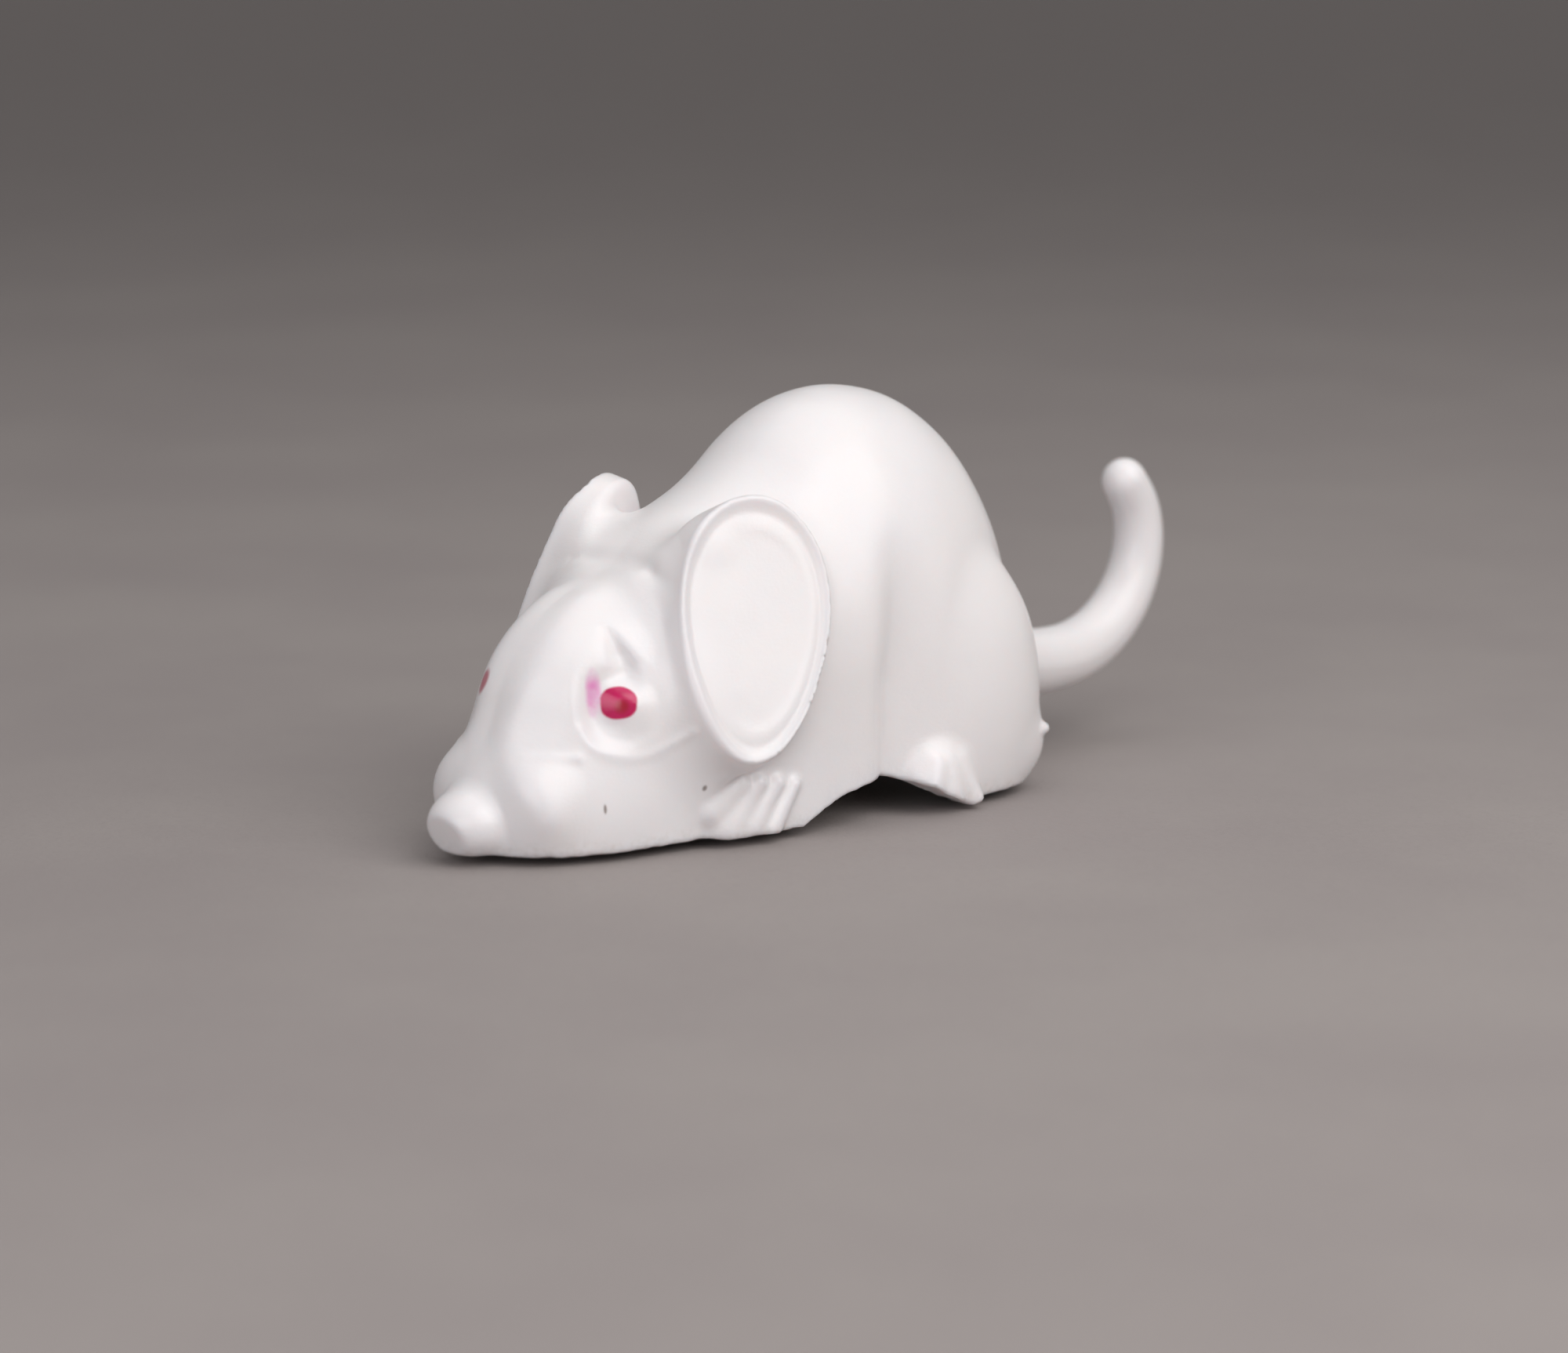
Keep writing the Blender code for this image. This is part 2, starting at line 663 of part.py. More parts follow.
def make_great_wheel():
    phase = towards(GREAT, SECOND)
    rivet = (GREAT[0] + 6.3 * math.cos(2.2), GREAT[1] + 6.3 * math.sin(2.2))
    holes = crossings(GREAT, 5.2, 7.4, 5, 0.55, 2.2 + math.pi / 5) + [circle(rivet, 0.55, 14)]
    return gear("great_wheel", GREAT, GREAT_TEETH, phase, 2.0, 3.2, 1.57, holes), rivet


def make_click(rivet):
    """A springy arm bent round the ratchet wheel, its tip in a notch."""
    start = 2.2
    line = [(6.9, start + 0.12), (6.3, start), (6.0, start - 0.16), (5.75, start - 0.35), (5.5, start - 0.6),
            (5.2, start - 0.85), (4.85, start - 1.1), (4.35, start - 1.32), (3.95, start - 1.45)]
    wide = [0.55, 0.95, 0.8, 0.35, 0.22, 0.2, 0.2, 0.2, 0.16]
    inner = [(r - w, t) for (r, t), w in zip(line, wide)]
    outer = [(r + w, t) for (r, t), w in zip(line, wide)][::-1]
    loop = [(GREAT[0] + r * math.cos(t), GREAT[1] + r * math.sin(t)) for r, t in inner + outer]
    click = strip("click_spring", loop, 1.0, 1.92)
    return cut(click, lathe("tool", [(0, 0), (0, 0.56), (2.5, 0.56), (2.5, 0)], rivet, 14))


def make_drive_wheel(side):
    s = 1 if side == "left" else -1
    low, high = sorted((s * 7.9, s * 10.4))
    wheel = lathe("drive_wheel_" + side, [(low, 1.03), (low, 3.7), (low + 0.5, 3.9), (high - 0.5, 3.9), (high, 3.7),
                                          (high, 1.03)], DRIVE, 32)
    tyre = lathe("tyre_" + side, [(low + 0.1, 3.93), (low + 0.1, 4.9), (low + 0.45, 5.2), (high - 0.45, 5.2),
                                  (high - 0.1, 4.9), (high - 0.1, 3.93)], DRIVE, 32)
    return wheel, tyre


def make_front_wheel(side):
    s = 1 if side == "left" else -1
    low, high = sorted((s * 2.9, s * 5.3))
    tread = [(low, 0.83), (low, 3.1), (low + 0.3, 3.4), (high - 0.3, 3.4), (high, 3.1), (high, 0.83)]
    return lathe("front_wheel_" + side, tread, FRONT_AXLE, 28)


def rod(name, centre, steps, segments=20):
    """Turned shaft from a list of (along, radius) corners."""
    return lathe(name, [(steps[0][0], 0)] + steps + [(steps[-1][0], 0)], centre, segments)


def make_train():
    journal = PLATE_OUT + 0.5
    inner = PLATE_IN - 0.15
    rod("second_arbor", SECOND, [(-journal, 0.7), (-inner, 0.7), (-inner, 1.0), (inner, 1.0), (inner, 0.7),
                                 (journal, 0.7)])
    phase = towards(SECOND, GREAT) + math.pi / PINION_TEETH
    gear("second_pinion", SECOND, PINION_TEETH, phase, 1.5, 3.9, 1.03)
    windows = crossings(SECOND, 2.2, 4.5, 4, 0.6)
    gear("second_wheel", SECOND, SECOND_TEETH, towards(SECOND, DRIVE), 4.3, 5.3, 1.03, windows)
    rod("drive_axle", DRIVE, [(-10.2, 1.0), (10.2, 1.0)])
    gear("drive_pinion", DRIVE, PINION_TEETH, towards(DRIVE, SECOND) + math.pi / PINION_TEETH, 3.9, 5.9, 1.03)


def make_winding():
    make_arbor()
    make_key()
    ring("arbor_clip", GREAT, 1.03, 1.9, PLATE_OUT + 0.1, PLATE_OUT + 0.7)
    wheel, rivet = make_great_wheel()
    ratchet = ratchet_outline(GREAT, 12, 3.3, 4.1, 2.2 - 1.45 + 0.02)
    prism("ratchet_wheel", ratchet, 0.6, 1.8, [circle(GREAT, 1.53, 24)])
    make_click(rivet)
    rod("click_rivet", rivet, [(0.55, 0.6), (0.75, 0.9), (0.95, 0.9), (0.95, 0.5), (3.25, 0.5), (3.25, 0.85),
                               (3.6, 0.6)], 14)
    make_mainspring()


def build():
    for name in [thing.name for thing in bpy.data.objects]:
        bpy.data.objects.remove(bpy.data.objects[name])
    make_body()
    make_tail()
    make_base()
    for where in SCREWS:
        make_screw(where)
    make_frame_plate("frame_plate_left", PLATE_IN, PLATE_OUT)
    make_frame_plate("frame_plate_right", -PLATE_OUT, -PLATE_IN)
    for index in range(len(PILLARS)):
        make_pillar(index)
    make_winding()
    make_train()
    for side in ("left", "right"):
        make_drive_wheel(side)
        make_front_wheel(side)
    rod("front_axle", FRONT_AXLE, [(-8.0, 0.8), (8.0, 0.8)], 18)


build()
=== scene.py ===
"""Looks of the clockwork mouse.

The moulded body and the tail are sculpted as implicit forms in millimetres above the
ground, nose towards -Y and left side towards +X, and turned into meshes that stand for
the CAD body and tail. The motor, base and running gear are the CAD's own. All materials
are node graphs.
"""
import json
import math

import bpy
import numpy as np
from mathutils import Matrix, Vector


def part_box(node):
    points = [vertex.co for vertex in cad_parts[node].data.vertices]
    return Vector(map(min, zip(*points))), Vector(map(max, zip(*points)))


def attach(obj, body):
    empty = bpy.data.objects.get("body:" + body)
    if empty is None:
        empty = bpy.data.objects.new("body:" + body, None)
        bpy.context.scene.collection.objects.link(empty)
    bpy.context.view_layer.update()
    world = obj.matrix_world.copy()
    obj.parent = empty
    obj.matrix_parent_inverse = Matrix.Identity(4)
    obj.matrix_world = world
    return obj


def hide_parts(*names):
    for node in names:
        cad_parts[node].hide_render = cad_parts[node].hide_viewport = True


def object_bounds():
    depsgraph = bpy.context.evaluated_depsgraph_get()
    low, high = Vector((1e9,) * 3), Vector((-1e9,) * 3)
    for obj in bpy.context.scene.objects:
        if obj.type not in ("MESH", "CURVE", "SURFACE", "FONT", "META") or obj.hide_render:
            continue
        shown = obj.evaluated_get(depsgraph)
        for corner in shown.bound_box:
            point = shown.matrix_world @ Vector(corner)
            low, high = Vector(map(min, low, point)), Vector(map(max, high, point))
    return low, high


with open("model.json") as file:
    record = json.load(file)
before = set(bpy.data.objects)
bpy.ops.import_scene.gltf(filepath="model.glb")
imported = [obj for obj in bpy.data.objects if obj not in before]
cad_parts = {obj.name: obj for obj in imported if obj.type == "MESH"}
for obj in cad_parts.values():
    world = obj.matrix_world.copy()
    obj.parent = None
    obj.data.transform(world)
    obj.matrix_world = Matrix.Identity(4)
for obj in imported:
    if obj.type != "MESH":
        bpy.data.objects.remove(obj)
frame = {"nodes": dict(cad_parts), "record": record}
cad_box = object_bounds()

MM = 0.001
RIDE = -cad_box[0].z / MM      # the frame's origin above the ground
WALL = 1.5
BASE_PLATE = 1.2               # thickness
SCREW_COLUMNS = {"front": 1.9, "left": 1.8, "right": 1.8}      # radii
COLUMN_GAP = 0.14              # between the columns and the base plate
SIDE_COLUMN_TOP = 8.4
FRONT_COLUMN_TOP = 30.0        # above the roof, which cuts the column off
WEB_HALF = 0.7                 # half the thickness of the webs beside the columns
WEB_INNER = 8.2                # the webs run outwards from this x
PILOT_HOLE = (1.0, 7.9)        # radius and top
KEY_HOLE = 2.7                 # radius
TAIL_SEAT = (3.8, 19.4)        # radius, and the y where it starts
PEG_HOLE = (1.75, 18.0)
TAIL_SOCKET = 3.5              # radius


def centre_of(node):
    """Middle of a CAD node in millimetres above the ground."""
    low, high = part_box(node)
    middle = (low + high) / 2 / MM
    return middle.x, middle.y, middle.z + RIDE


KEY_SHAFT = centre_of("ratchet_wheel")
BASE_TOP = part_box("frame_plate_left")[0].z / MM + RIDE + BASE_PLATE
TAIL_HEIGHT = 8.8
TAIL_ROOT = 22.3               # y of the face that the tail's shoulder meets

# the camera, 46 degrees round from the nose and a little above the ground
AZIMUTH = math.radians(46.0)
ELEVATION = math.radians(10.5)
LENS = 95.0
DISTANCE = 0.350
AIM_RISE = 10.28               # from the ground, across the line of sight
FOCUS = 0.338


# ---------------------------------------------------------------- implicit forms

def length(v):
    return np.sqrt((v * v).sum(axis=-1))


def ellipsoid(p, centre, radii):
    q = (p - np.array(centre, float)) / np.array(radii, float)
    k0 = length(q)
    k1 = length(q / np.array(radii, float))
    return k0 * (k0 - 1.0) / np.maximum(k1, 1e-9)


def dome(p, centre, radii):
    """An ellipsoid above its centre, with upright walls below it."""
    q = p.copy()
    q[..., 2] = np.maximum(q[..., 2], centre[2])
    return ellipsoid(q, centre, radii)


def blend(a, b, k):
    """Union of two forms with a fillet of about k."""
    h = np.maximum(k - np.abs(a - b), 0.0) / k
    return np.minimum(a, b) - h * h * k * 0.25


def both(a, b, k):
    """What two forms share, with its edge rounded by about k."""
    return -blend(-a, -b, k)


def turned(p, centre, axis, degrees):
    first, second = {"x": (1, 2), "y": (2, 0), "z": (0, 1)}[axis]
    q = p - np.array(centre, float)
    cos, sin = math.cos(math.radians(degrees)), math.sin(math.radians(degrees))
    out = q.copy()
    out[..., first] = cos * q[..., first] + sin * q[..., second]
    out[..., second] = -sin * q[..., first] + cos * q[..., second]
    return out + np.array(centre, float)


def mirrored(p):
    q = p.copy()
    q[..., 0] = np.abs(q[..., 0])
    return q


def line_distance(p, points):
    """Distance to a line through points in space or in a plane, and the place along it from 0 to 1."""
    best = np.full(p.shape[:-1], 1e9)
    place = np.zeros(p.shape[:-1])
    spans = len(points) - 1
    for i in range(spans):
        a, b = np.array(points[i], float), np.array(points[i + 1], float)
        t = np.clip(((p - a) @ (b - a)) / ((b - a) @ (b - a)), 0.0, 1.0)
        d = length(p - a - t[..., None] * (b - a))
        closer = d < best
        best = np.where(closer, d, best)
        place = np.where(closer, (i + t) / spans, place)
    return best, place


def step_down(d, half):
    """1 well inside, 0 well outside, smooth over half either side of the edge."""
    t = np.clip(0.5 - d / (2 * half), 0.0, 1.0)
    return t * t * (3 - 2 * t)


def bell(d, width):
    return np.exp(-(d / width) ** 2)


def capsules(p, points, first, last):
    """A round bar along points, its radius going from first to last."""
    d, place = line_distance(p, points)
    return d - (first + (last - first) * place)


def ripple(p, scale, seed):
    """Smooth irregular wave between about -1 and 1."""
    rng = np.random.default_rng(seed)
    total = np.zeros(p.shape[:-1])
    for _ in range(6):
        way = rng.normal(size=3)
        way /= np.linalg.norm(way) * scale * rng.uniform(0.6, 1.4)
        total += np.sin(p @ way * 2 * math.pi + rng.uniform(0, 2 * math.pi))
    return total / 3.0


def smooth_path(points, per_span):
    """Catmull-Rom curve through points."""
    padded = [points[0]] + list(points) + [points[-1]]
    padded = np.array(padded, float)
    out = []
    for i in range(1, len(padded) - 2):
        a, b, c, d = padded[i - 1:i + 3]
        for t in np.arange(per_span) / per_span:
            out.append(0.5 * (2 * b + (c - a) * t + (2 * a - 5 * b + 4 * c - d) * t * t
                              + (3 * b - a - 3 * c + d) * t ** 3))
    return np.array(out + [padded[-1]])


# ---------------------------------------------------------------- the mouse

# the eye: its place, its own axes, and shapes measured along EYE_BACK and EYE_UP
EYE = np.array((7.57, -25.3, 12.6))
EYE_OUT = np.array((0.882, -0.388, 0.266))
EYE_BACK = np.array((0.403, 0.915, 0.0))
EYE_UP = np.array((-0.244, 0.107, 0.964))
SOCKET = ((-0.2, 0.1), (3.0, 3.4))
GROOVE_TOP = 6.4
LID = smooth_path([(-3.1, -1.9), (-2.5, -3.1), (-1.2, -4.0), (0.6, -4.4),
                   (2.4, -4.2), (4.2, -3.5), (5.6, -2.8)], 4)
PUPIL = (0.05, 0.05)
PUPIL_HALF = (1.36, 1.3)
PUPIL_POWER = 2.3              # 2 is an ellipse, more is squarer

EAR = (10.8, -14.0, 17.4)
EAR_HALF = (1.3, 6.4, 10.9)    # halves of its thickness, width and height
DISH_HALF = (6.3, 10.75)
EAR_EGG = 0.18                 # share by which the ear widens upwards
EAR_ROOT = [(4.2, -16.6, 19.8), (6.9, -15.4, 23.6)]
CROWN_CREASE = [(8.2, -18.9, 20.6), (4.0, -18.9, 22.1), (0.0, -19.3, 22.9)]
CHEEK_CREASE = smooth_path([(3.8, -18.4, 22.0), (5.6, -18.9, 20.2), (7.0, -19.6, 17.9), (8.2, -19.6, 15.5),
                            (9.0, -19.2, 13.0), (9.6, -18.3, 10.9), (10.2, -16.6, 8.9)], 2)
MUZZLE_CREASE = [(3.9, -32.0, 8.5), (5.3, -30.7, 8.6), (6.7, -28.9, 8.5)]
BROW_RIDGE = smooth_path([(2.0, -24.0, 20.0), (2.4, -26.8, 18.2), (2.6, -29.1, 15.7), (2.1, -30.9, 13.0),
                          (2.0, -31.9, 10.6), (3.1, -32.7, 8.1), (5.2, -33.0, 6.3), (6.7, -32.0, 4.2)], 2)
HAUNCH_DEPTH = 1.8
TOES = [((10.9, -15.2, 5.0), (9.9, -17.7, 3.0)), ((11.5, -13.8, 5.0), (10.5, -16.4, 1.5)),
        ((11.9, -12.1, 4.9), (11.2, -14.4, 1.6)), ((12.1, -10.5, 4.6), (11.7, -12.7, 1.2))]


def trunk(p):
    """Hump, chest, head and haunches: the parts the wall follows inside."""
    m = mirrored(p)
    d = dome(p, (0, 5.0, 12.5), (13.5, 17.5, 22.2))
    d = blend(d, dome(p, (0, -8, 12.5), (12, 15, 14.4)), 4.0)
    d = blend(d, dome(p, (0, -18, 8), (9.6, 14.2, 13.6)), 1.6)
    d = blend(d, ellipsoid(p, (0, -25.2, 3.4), (8.4, 9.8, 8.6)), 2.0)
    return blend(d, ellipsoid(m, (9.5, 11.7, 8.5), (5.1, 8.0, 12.5)), 1.4)


def ear_place(m):
    """Points in the ear's own axes: outwards, along its width and along its height."""
    return turned(turned(turned(m, EAR, "x", -9), EAR, "z", -22), EAR, "y", -14) - np.array(EAR)


def egg(q, half_width, half_height):
    """Distance to the ear's outline, or a smaller one of its kind, narrowing towards the cheek."""
    height = q[..., 2] / half_height
    wide = half_width * (1.0 + EAR_EGG * np.clip(height, -1.3, 1.3))
    return (np.hypot(height, q[..., 1] / wide) - 1.0) * half_width


def oval(flat, centre, half, power=2.0):
    """Distance to an oval, or a rounded square for a higher power."""
    u = np.abs(flat[..., 0] - centre[0]) / half[0]
    v = np.abs(flat[..., 1] - centre[1]) / half[1]
    return ((u ** power + v ** power) ** (1.0 / power) - 1.0) * half[0]


def groove(u, v):
    """A furrow widening down to the pupil, with a steep rear wall."""
    drop = np.clip(GROOVE_TOP - v, 0.01, None)
    half = np.minimum(0.55 + 0.22 * drop, 1.5)
    off = (u - np.minimum(0.33 * drop - 0.1, 1.05)) / half
    across = bell(off, np.where(off > 0.0, 0.6, 0.95))
    return 0.8 * across * np.clip(drop / 2.5, 0.0, 1.0) * step_down(0.9 - v, 1.4)


def eye_relief(m):
    """Depth of the eye socket, its groove and the lid around it."""
    q = m - EYE
    near = (length(q) < 10.0) & (q @ EYE_OUT > -4.0)
    out = np.zeros(m.shape[:-1])
    q = q[near]
    flat = np.stack([q @ EYE_BACK, q @ EYE_UP], axis=-1)
    u, v = flat[:, 0], flat[:, 1]
    deep = step_down(u - 0.6, 3.2) * step_down(v - 2.0, 3.2)
    hollow = 1.2 * step_down(oval(flat, *SOCKET, 2.6) + 0.5, 1.2) * (0.1 + 0.9 * deep)
    ball = 0.7 * step_down(oval(flat, (0.6, -0.3), (1.6, 1.7)), 1.2)
    furrow = groove(u, v)
    lid = 0.09 * bell(line_distance(flat, LID)[0], 0.45)
    paint = 0.04 * step_down(pupil_distance(flat), 0.12)
    out[near] = hollow - ball + furrow * (1.0 - ball) - lid - paint
    return out


def pupil_distance(flat):
    return oval(flat, PUPIL, PUPIL_HALF, PUPIL_POWER)


def haunch_hollow(m):
    """Hollow ahead of each thigh, steep in front and rising slowly to the thigh's crest."""
    behind = m[..., 1] - 0.8 - 0.1 * np.maximum(m[..., 2] - 12.0, 0.0)
    width = np.where(behind < 0.0, 1.9, 3.6)
    return HAUNCH_DEPTH * step_down(m[..., 2] - 19.0, 8.0) * bell(behind, width)


def relief(p, m):
    """How far the plain form is pressed in, or raised where negative."""
    depth = eye_relief(m)
    gap, place = line_distance(m, CROWN_CREASE)
    depth += 0.3 * np.minimum(2.5 * place, 1.0) * bell(gap, 0.9)
    gap, place = line_distance(m, CHEEK_CREASE)
    depth += (0.5 - 0.3 * place) * np.minimum(5.0 * place, 1.0) * bell(gap, 1.0)
    depth -= 0.12 * bell(line_distance(m, MUZZLE_CREASE)[0], 0.4)
    depth -= 0.3 * bell(line_distance(m, BROW_RIDGE)[0], 1.5)
    depth += haunch_hollow(m)
    return depth + 0.03 * ripple(p, 9.0, 3)


def ear_form(m):
    """A plate with an egg-shaped outline, and the root that carries it."""
    q = ear_place(m)
    plate = both(egg(q, EAR_HALF[1], EAR_HALF[2]), np.abs(q[..., 0]) - EAR_HALF[0], 0.7)
    return blend(plate, capsules(m, EAR_ROOT, 2.6, 0.9), 3.0)


def ear_relief(m):
    """The shallow dish on the ear's outer face, with a fine lip inside its rear edge."""
    q = ear_place(m)
    edge = egg(q, DISH_HALF[0], DISH_HALF[1])
    out = step_down(0.3 - q[..., 0], 0.4)
    rear = step_down(-q[..., 1] - 1.0, 2.0)
    lip = 0.08 * bell(edge + 1.4, 0.4) * rear
    return (0.6 * step_down(edge + 0.4, 0.5) - lip) * out


def toes(m):
    """The front paw, four ridges on a low pad."""
    d = ellipsoid(m, (9.9, -13.7, 1.6), (2.0, 4.1, 3.2))
    for top, tip in TOES:
        d = blend(d, capsules(m, [top, tip], 0.4, 0.85), 0.7)
    return d


def hind_foot(m):
    d = ellipsoid(m, (12.2, 5.8, 1.7), (2.5, 3.7, 4.6))
    for y, lean in ((3.9, -0.9), (5.8, 0.0), (7.6, 0.8)):
        d = blend(d, capsules(m, [(13.5, y - lean * 0.7, 4.2), (14.1, y + lean, 1.0)], 0.6, 0.85), 0.8)
    return d


def snout(p, m):
    """Lips, and a nose with a flat on its tip."""
    lips = ellipsoid(m, (3.1, -29.9, 4.4), (4.3, 4.0, 4.8))
    nose = ellipsoid(p, (0, -33.6, 3.1), (3.7, 4.2, 3.0))
    facet = (p - np.array((0.0, -37.0, 2.6))) @ np.array((0.0, -0.93, -0.37))
    return blend(lips, both(nose, facet, 0.25), 0.35)


def outside(p):
    """The whole outer form of the body, open below."""
    m = mirrored(p)
    q = ear_place(m)
    fillet = 1.6 + 2.4 * step_down(q[..., 1] + 1.0, 4.0) + 1.6 * step_down(q[..., 2] + 4.0, 4.0)
    d = blend(trunk(p), ear_form(m), fillet)
    d = blend(d, snout(p, m), 0.9)
    d = blend(d + relief(p, m) + ear_relief(m), toes(m), 0.9)
    d = blend(d, hind_foot(m), 1.0)
    d = blend(d, ellipsoid(m, (10.6, 16.2, 4.2), (2.4, 3.6, 3.2)), 1.5)
    # a nub of flash left at the rump
    flash = ellipsoid(p, (12.5, 18.3, 5.3), (0.7, 0.9, 0.5))
    return blend(d, flash, 0.5)


def rim(p):
    """Height of the body's bottom edge: an arch at the belly, a dip at the hind foot, a rise at the rump."""
    y = p[..., 1]
    level = p * np.array((1, 1, 0))
    arch = np.clip(1.0 - ((y + 0.6) / 8.6) ** 2, 0.0, None)
    ragged = 0.04 * ripple(level, 1.7, 11) + 0.05 * ripple(level, 5.0, 12)
    rump = 0.35 * np.clip(y - 17.0, 0.0, None)
    return 0.8 + 2.8 * arch + rump - 0.7 * bell(y - 5.6, 3.2) + ragged


def column(p, centre, radius, low, high):
    """An upright cylinder."""
    side = np.hypot(p[..., 0] - centre[0], p[..., 1] - centre[1]) - radius
    return np.maximum(side, np.maximum(low - p[..., 2], p[..., 2] - high))


def bosses(p, skin):
    """Screw columns under the roof and the thick seat for the tail."""
    low = BASE_TOP + COLUMN_GAP
    d = np.full(p.shape[:-1], 1e3)
    for side, radius in SCREW_COLUMNS.items():
        x, y, _ = centre_of("base_screw_" + side)
        top = FRONT_COLUMN_TOP if side == "front" else SIDE_COLUMN_TOP
        d = np.minimum(d, column(p, (x, y), radius, low, top))
        if side != "front":
            web = np.maximum(np.abs(p[..., 1] - y) - WEB_HALF, WEB_INNER - np.abs(p[..., 0]))
            d = np.minimum(d, np.maximum(web, np.maximum(low - p[..., 2], p[..., 2] - top)))
    seat = np.hypot(p[..., 0], p[..., 2] - TAIL_HEIGHT) - TAIL_SEAT[0]
    d = np.minimum(d, np.maximum(seat, TAIL_SEAT[1] - p[..., 1]))
    return both(d, skin + 0.4, 0.3)


def bores(p):
    """The key's hole, the screws' pilot holes and the tail's socket, as one cutting form."""
    key = np.hypot(p[..., 1] - KEY_SHAFT[1], p[..., 2] - KEY_SHAFT[2]) - KEY_HOLE
    d = np.maximum(key, p[..., 0] + 8.0)
    for side in SCREW_COLUMNS:
        x, y, _ = centre_of("base_screw_" + side)
        d = np.minimum(d, column(p, (x, y), PILOT_HOLE[0], 0.0, PILOT_HOLE[1]))
    round_tail = np.hypot(p[..., 0], p[..., 2] - TAIL_HEIGHT)
    d = np.minimum(d, np.maximum(round_tail - PEG_HOLE[0], PEG_HOLE[1] - p[..., 1]))
    return np.minimum(d, np.maximum(round_tail - TAIL_SOCKET, TAIL_ROOT - p[..., 1]))


def shell(p):
    """The moulded body: its wall, columns and bores, cut off at its bottom edge."""
    skin = outside(p)
    inner = trunk(p) + WALL + np.maximum(relief(p, mirrored(p)), 0.0)
    wall = both(skin, -inner, 0.2)
    wall = blend(wall, bosses(p, skin), 0.4)
    wall = both(wall, -bores(p), 0.25)
    return both(wall, (rim(p) - p[..., 2]) * 0.8, 0.35)


# ---------------------------------------------------------------- meshing

def net_surface(field, low, high, cell):
    """Quads over a field's zero level, one vertex in each grid cube that the surface crosses."""
    axes = [np.arange(a, b + cell, cell) for a, b in zip(low, high)]
    grid = np.stack(np.meshgrid(*axes, indexing="ij"), axis=-1)
    value = field(grid)
    inside = value < 0
    cubes = tuple(n - 1 for n in value.shape)
    corners = [(i, j, k) for i in (0, 1) for j in (0, 1) for k in (0, 1)]

    def window(array, corner):
        return array[tuple(slice(c, c + n) for c, n in zip(corner, cubes))]

    total = np.zeros(cubes + (3,))
    count = np.zeros(cubes)
    for a in corners:
        for axis in range(3):
            if a[axis]:
                continue
            b = tuple(1 if i == axis else c for i, c in enumerate(a))
            va, vb = window(value, a), window(value, b)
            crossed = (va < 0) != (vb < 0)
            share = np.where(crossed, va / np.where(crossed, va - vb, 1.0), 0.0)[..., None]
            point = window(grid, a) * (1 - share) + window(grid, b) * share
            total += np.where(crossed[..., None], point, 0.0)
            count += crossed
    used = count > 0
    index = np.full(cubes, -1)
    index[used] = np.arange(used.sum())
    verts = total[used] / count[used][:, None]
    quads = []
    for axis in range(3):
        b, c = (axis + 1) % 3, (axis + 2) % 3
        ahead = [slice(1, n) for n in cubes]
        ahead[axis] = slice(0, cubes[axis])
        further = list(ahead)
        further[axis] = slice(1, cubes[axis] + 1)
        first, second = inside[tuple(ahead)], inside[tuple(further)]
        at = np.argwhere(first != second)
        flip = first[tuple(at.T)]
        at = at + np.array([0 if i == axis else 1 for i in range(3)])
        loop = []
        for step_b, step_c in ((0, 0), (1, 0), (1, 1), (0, 1)):
            cell_at = at.copy()
            cell_at[:, b] -= step_b
            cell_at[:, c] -= step_c
            loop.append(index[tuple(cell_at.T)])
        loop = np.stack(loop, axis=1)
        quads.append(np.where(flip[:, None], loop, loop[:, ::-1]))
    return verts, np.concatenate(quads)


def slope(field, points, step=0.05):
    """Gradient of a field, and how much it curves: positive where it is hollow."""
    out = np.zeros_like(points)
    bend = -6.0 * field(points)
    for axis in range(3):
        shift = np.zeros(3)
        shift[axis] = step
        ahead, behind = field(points + shift), field(points - shift)
        out[:, axis] = (ahead - behind) / (2 * step)
        bend += ahead + behind
    return out, bend / step ** 2


def settled(verts, field, rounds):
    """Vertices carried onto the field's zero level."""
    for _ in range(rounds):
        way, _ = slope(field, verts)
        size = (way * way).sum(axis=1)
        step = (field(verts) / np.maximum(size, 0.2))[:, None] * way
        verts = verts - step * np.minimum(1.0, 0.3 / np.maximum(length(step), 1e-9))[:, None]
    return verts


def evened(verts, faces, rounds):
    """Vertices moved halfway to the middle of their neighbours."""
    for _ in range(rounds):
        total = np.zeros_like(verts)
        count = np.zeros(len(verts))
        for i in range(4):
            np.add.at(total, faces[:, i], verts[faces[:, (i + 1) % 4]])
            np.add.at(total, faces[:, i], verts[faces[:, (i + 3) % 4]])
            np.add.at(count, faces[:, i], 2)
        verts = verts + 0.5 * (total / count[:, None] - verts)
    return verts


def to_frame(points):
    return (np.asarray(points, float) - np.array((0, 0, RIDE))) * MM


def from_frame(mesh):
    flat = np.zeros(len(mesh.vertices) * 3)
    mesh.vertices.foreach_get("co", flat)
    return flat.reshape(-1, 3) / MM + np.array((0, 0, RIDE))


def new_object(name, verts, faces):
    mesh = bpy.data.meshes.new(name)
    mesh.from_pydata(to_frame(verts).tolist(), [], [tuple(int(i) for i in f) for f in faces])
    mesh.update()
    thing = bpy.data.objects.new(name, mesh)
    bpy.context.scene.collection.objects.link(thing)
    return thing


def apply_modifiers(thing):
    graph = bpy.context.evaluated_depsgraph_get()
    mesh = bpy.data.meshes.new_from_object(thing.evaluated_get(graph))
    thing.modifiers.clear()
    old = thing.data
    thing.data = mesh
    mesh.name = thing.name
    bpy.data.meshes.remove(old)


def set_positions(thing, verts):
    thing.data.vertices.foreach_set("co", to_frame(verts).ravel())
    thing.data.update()


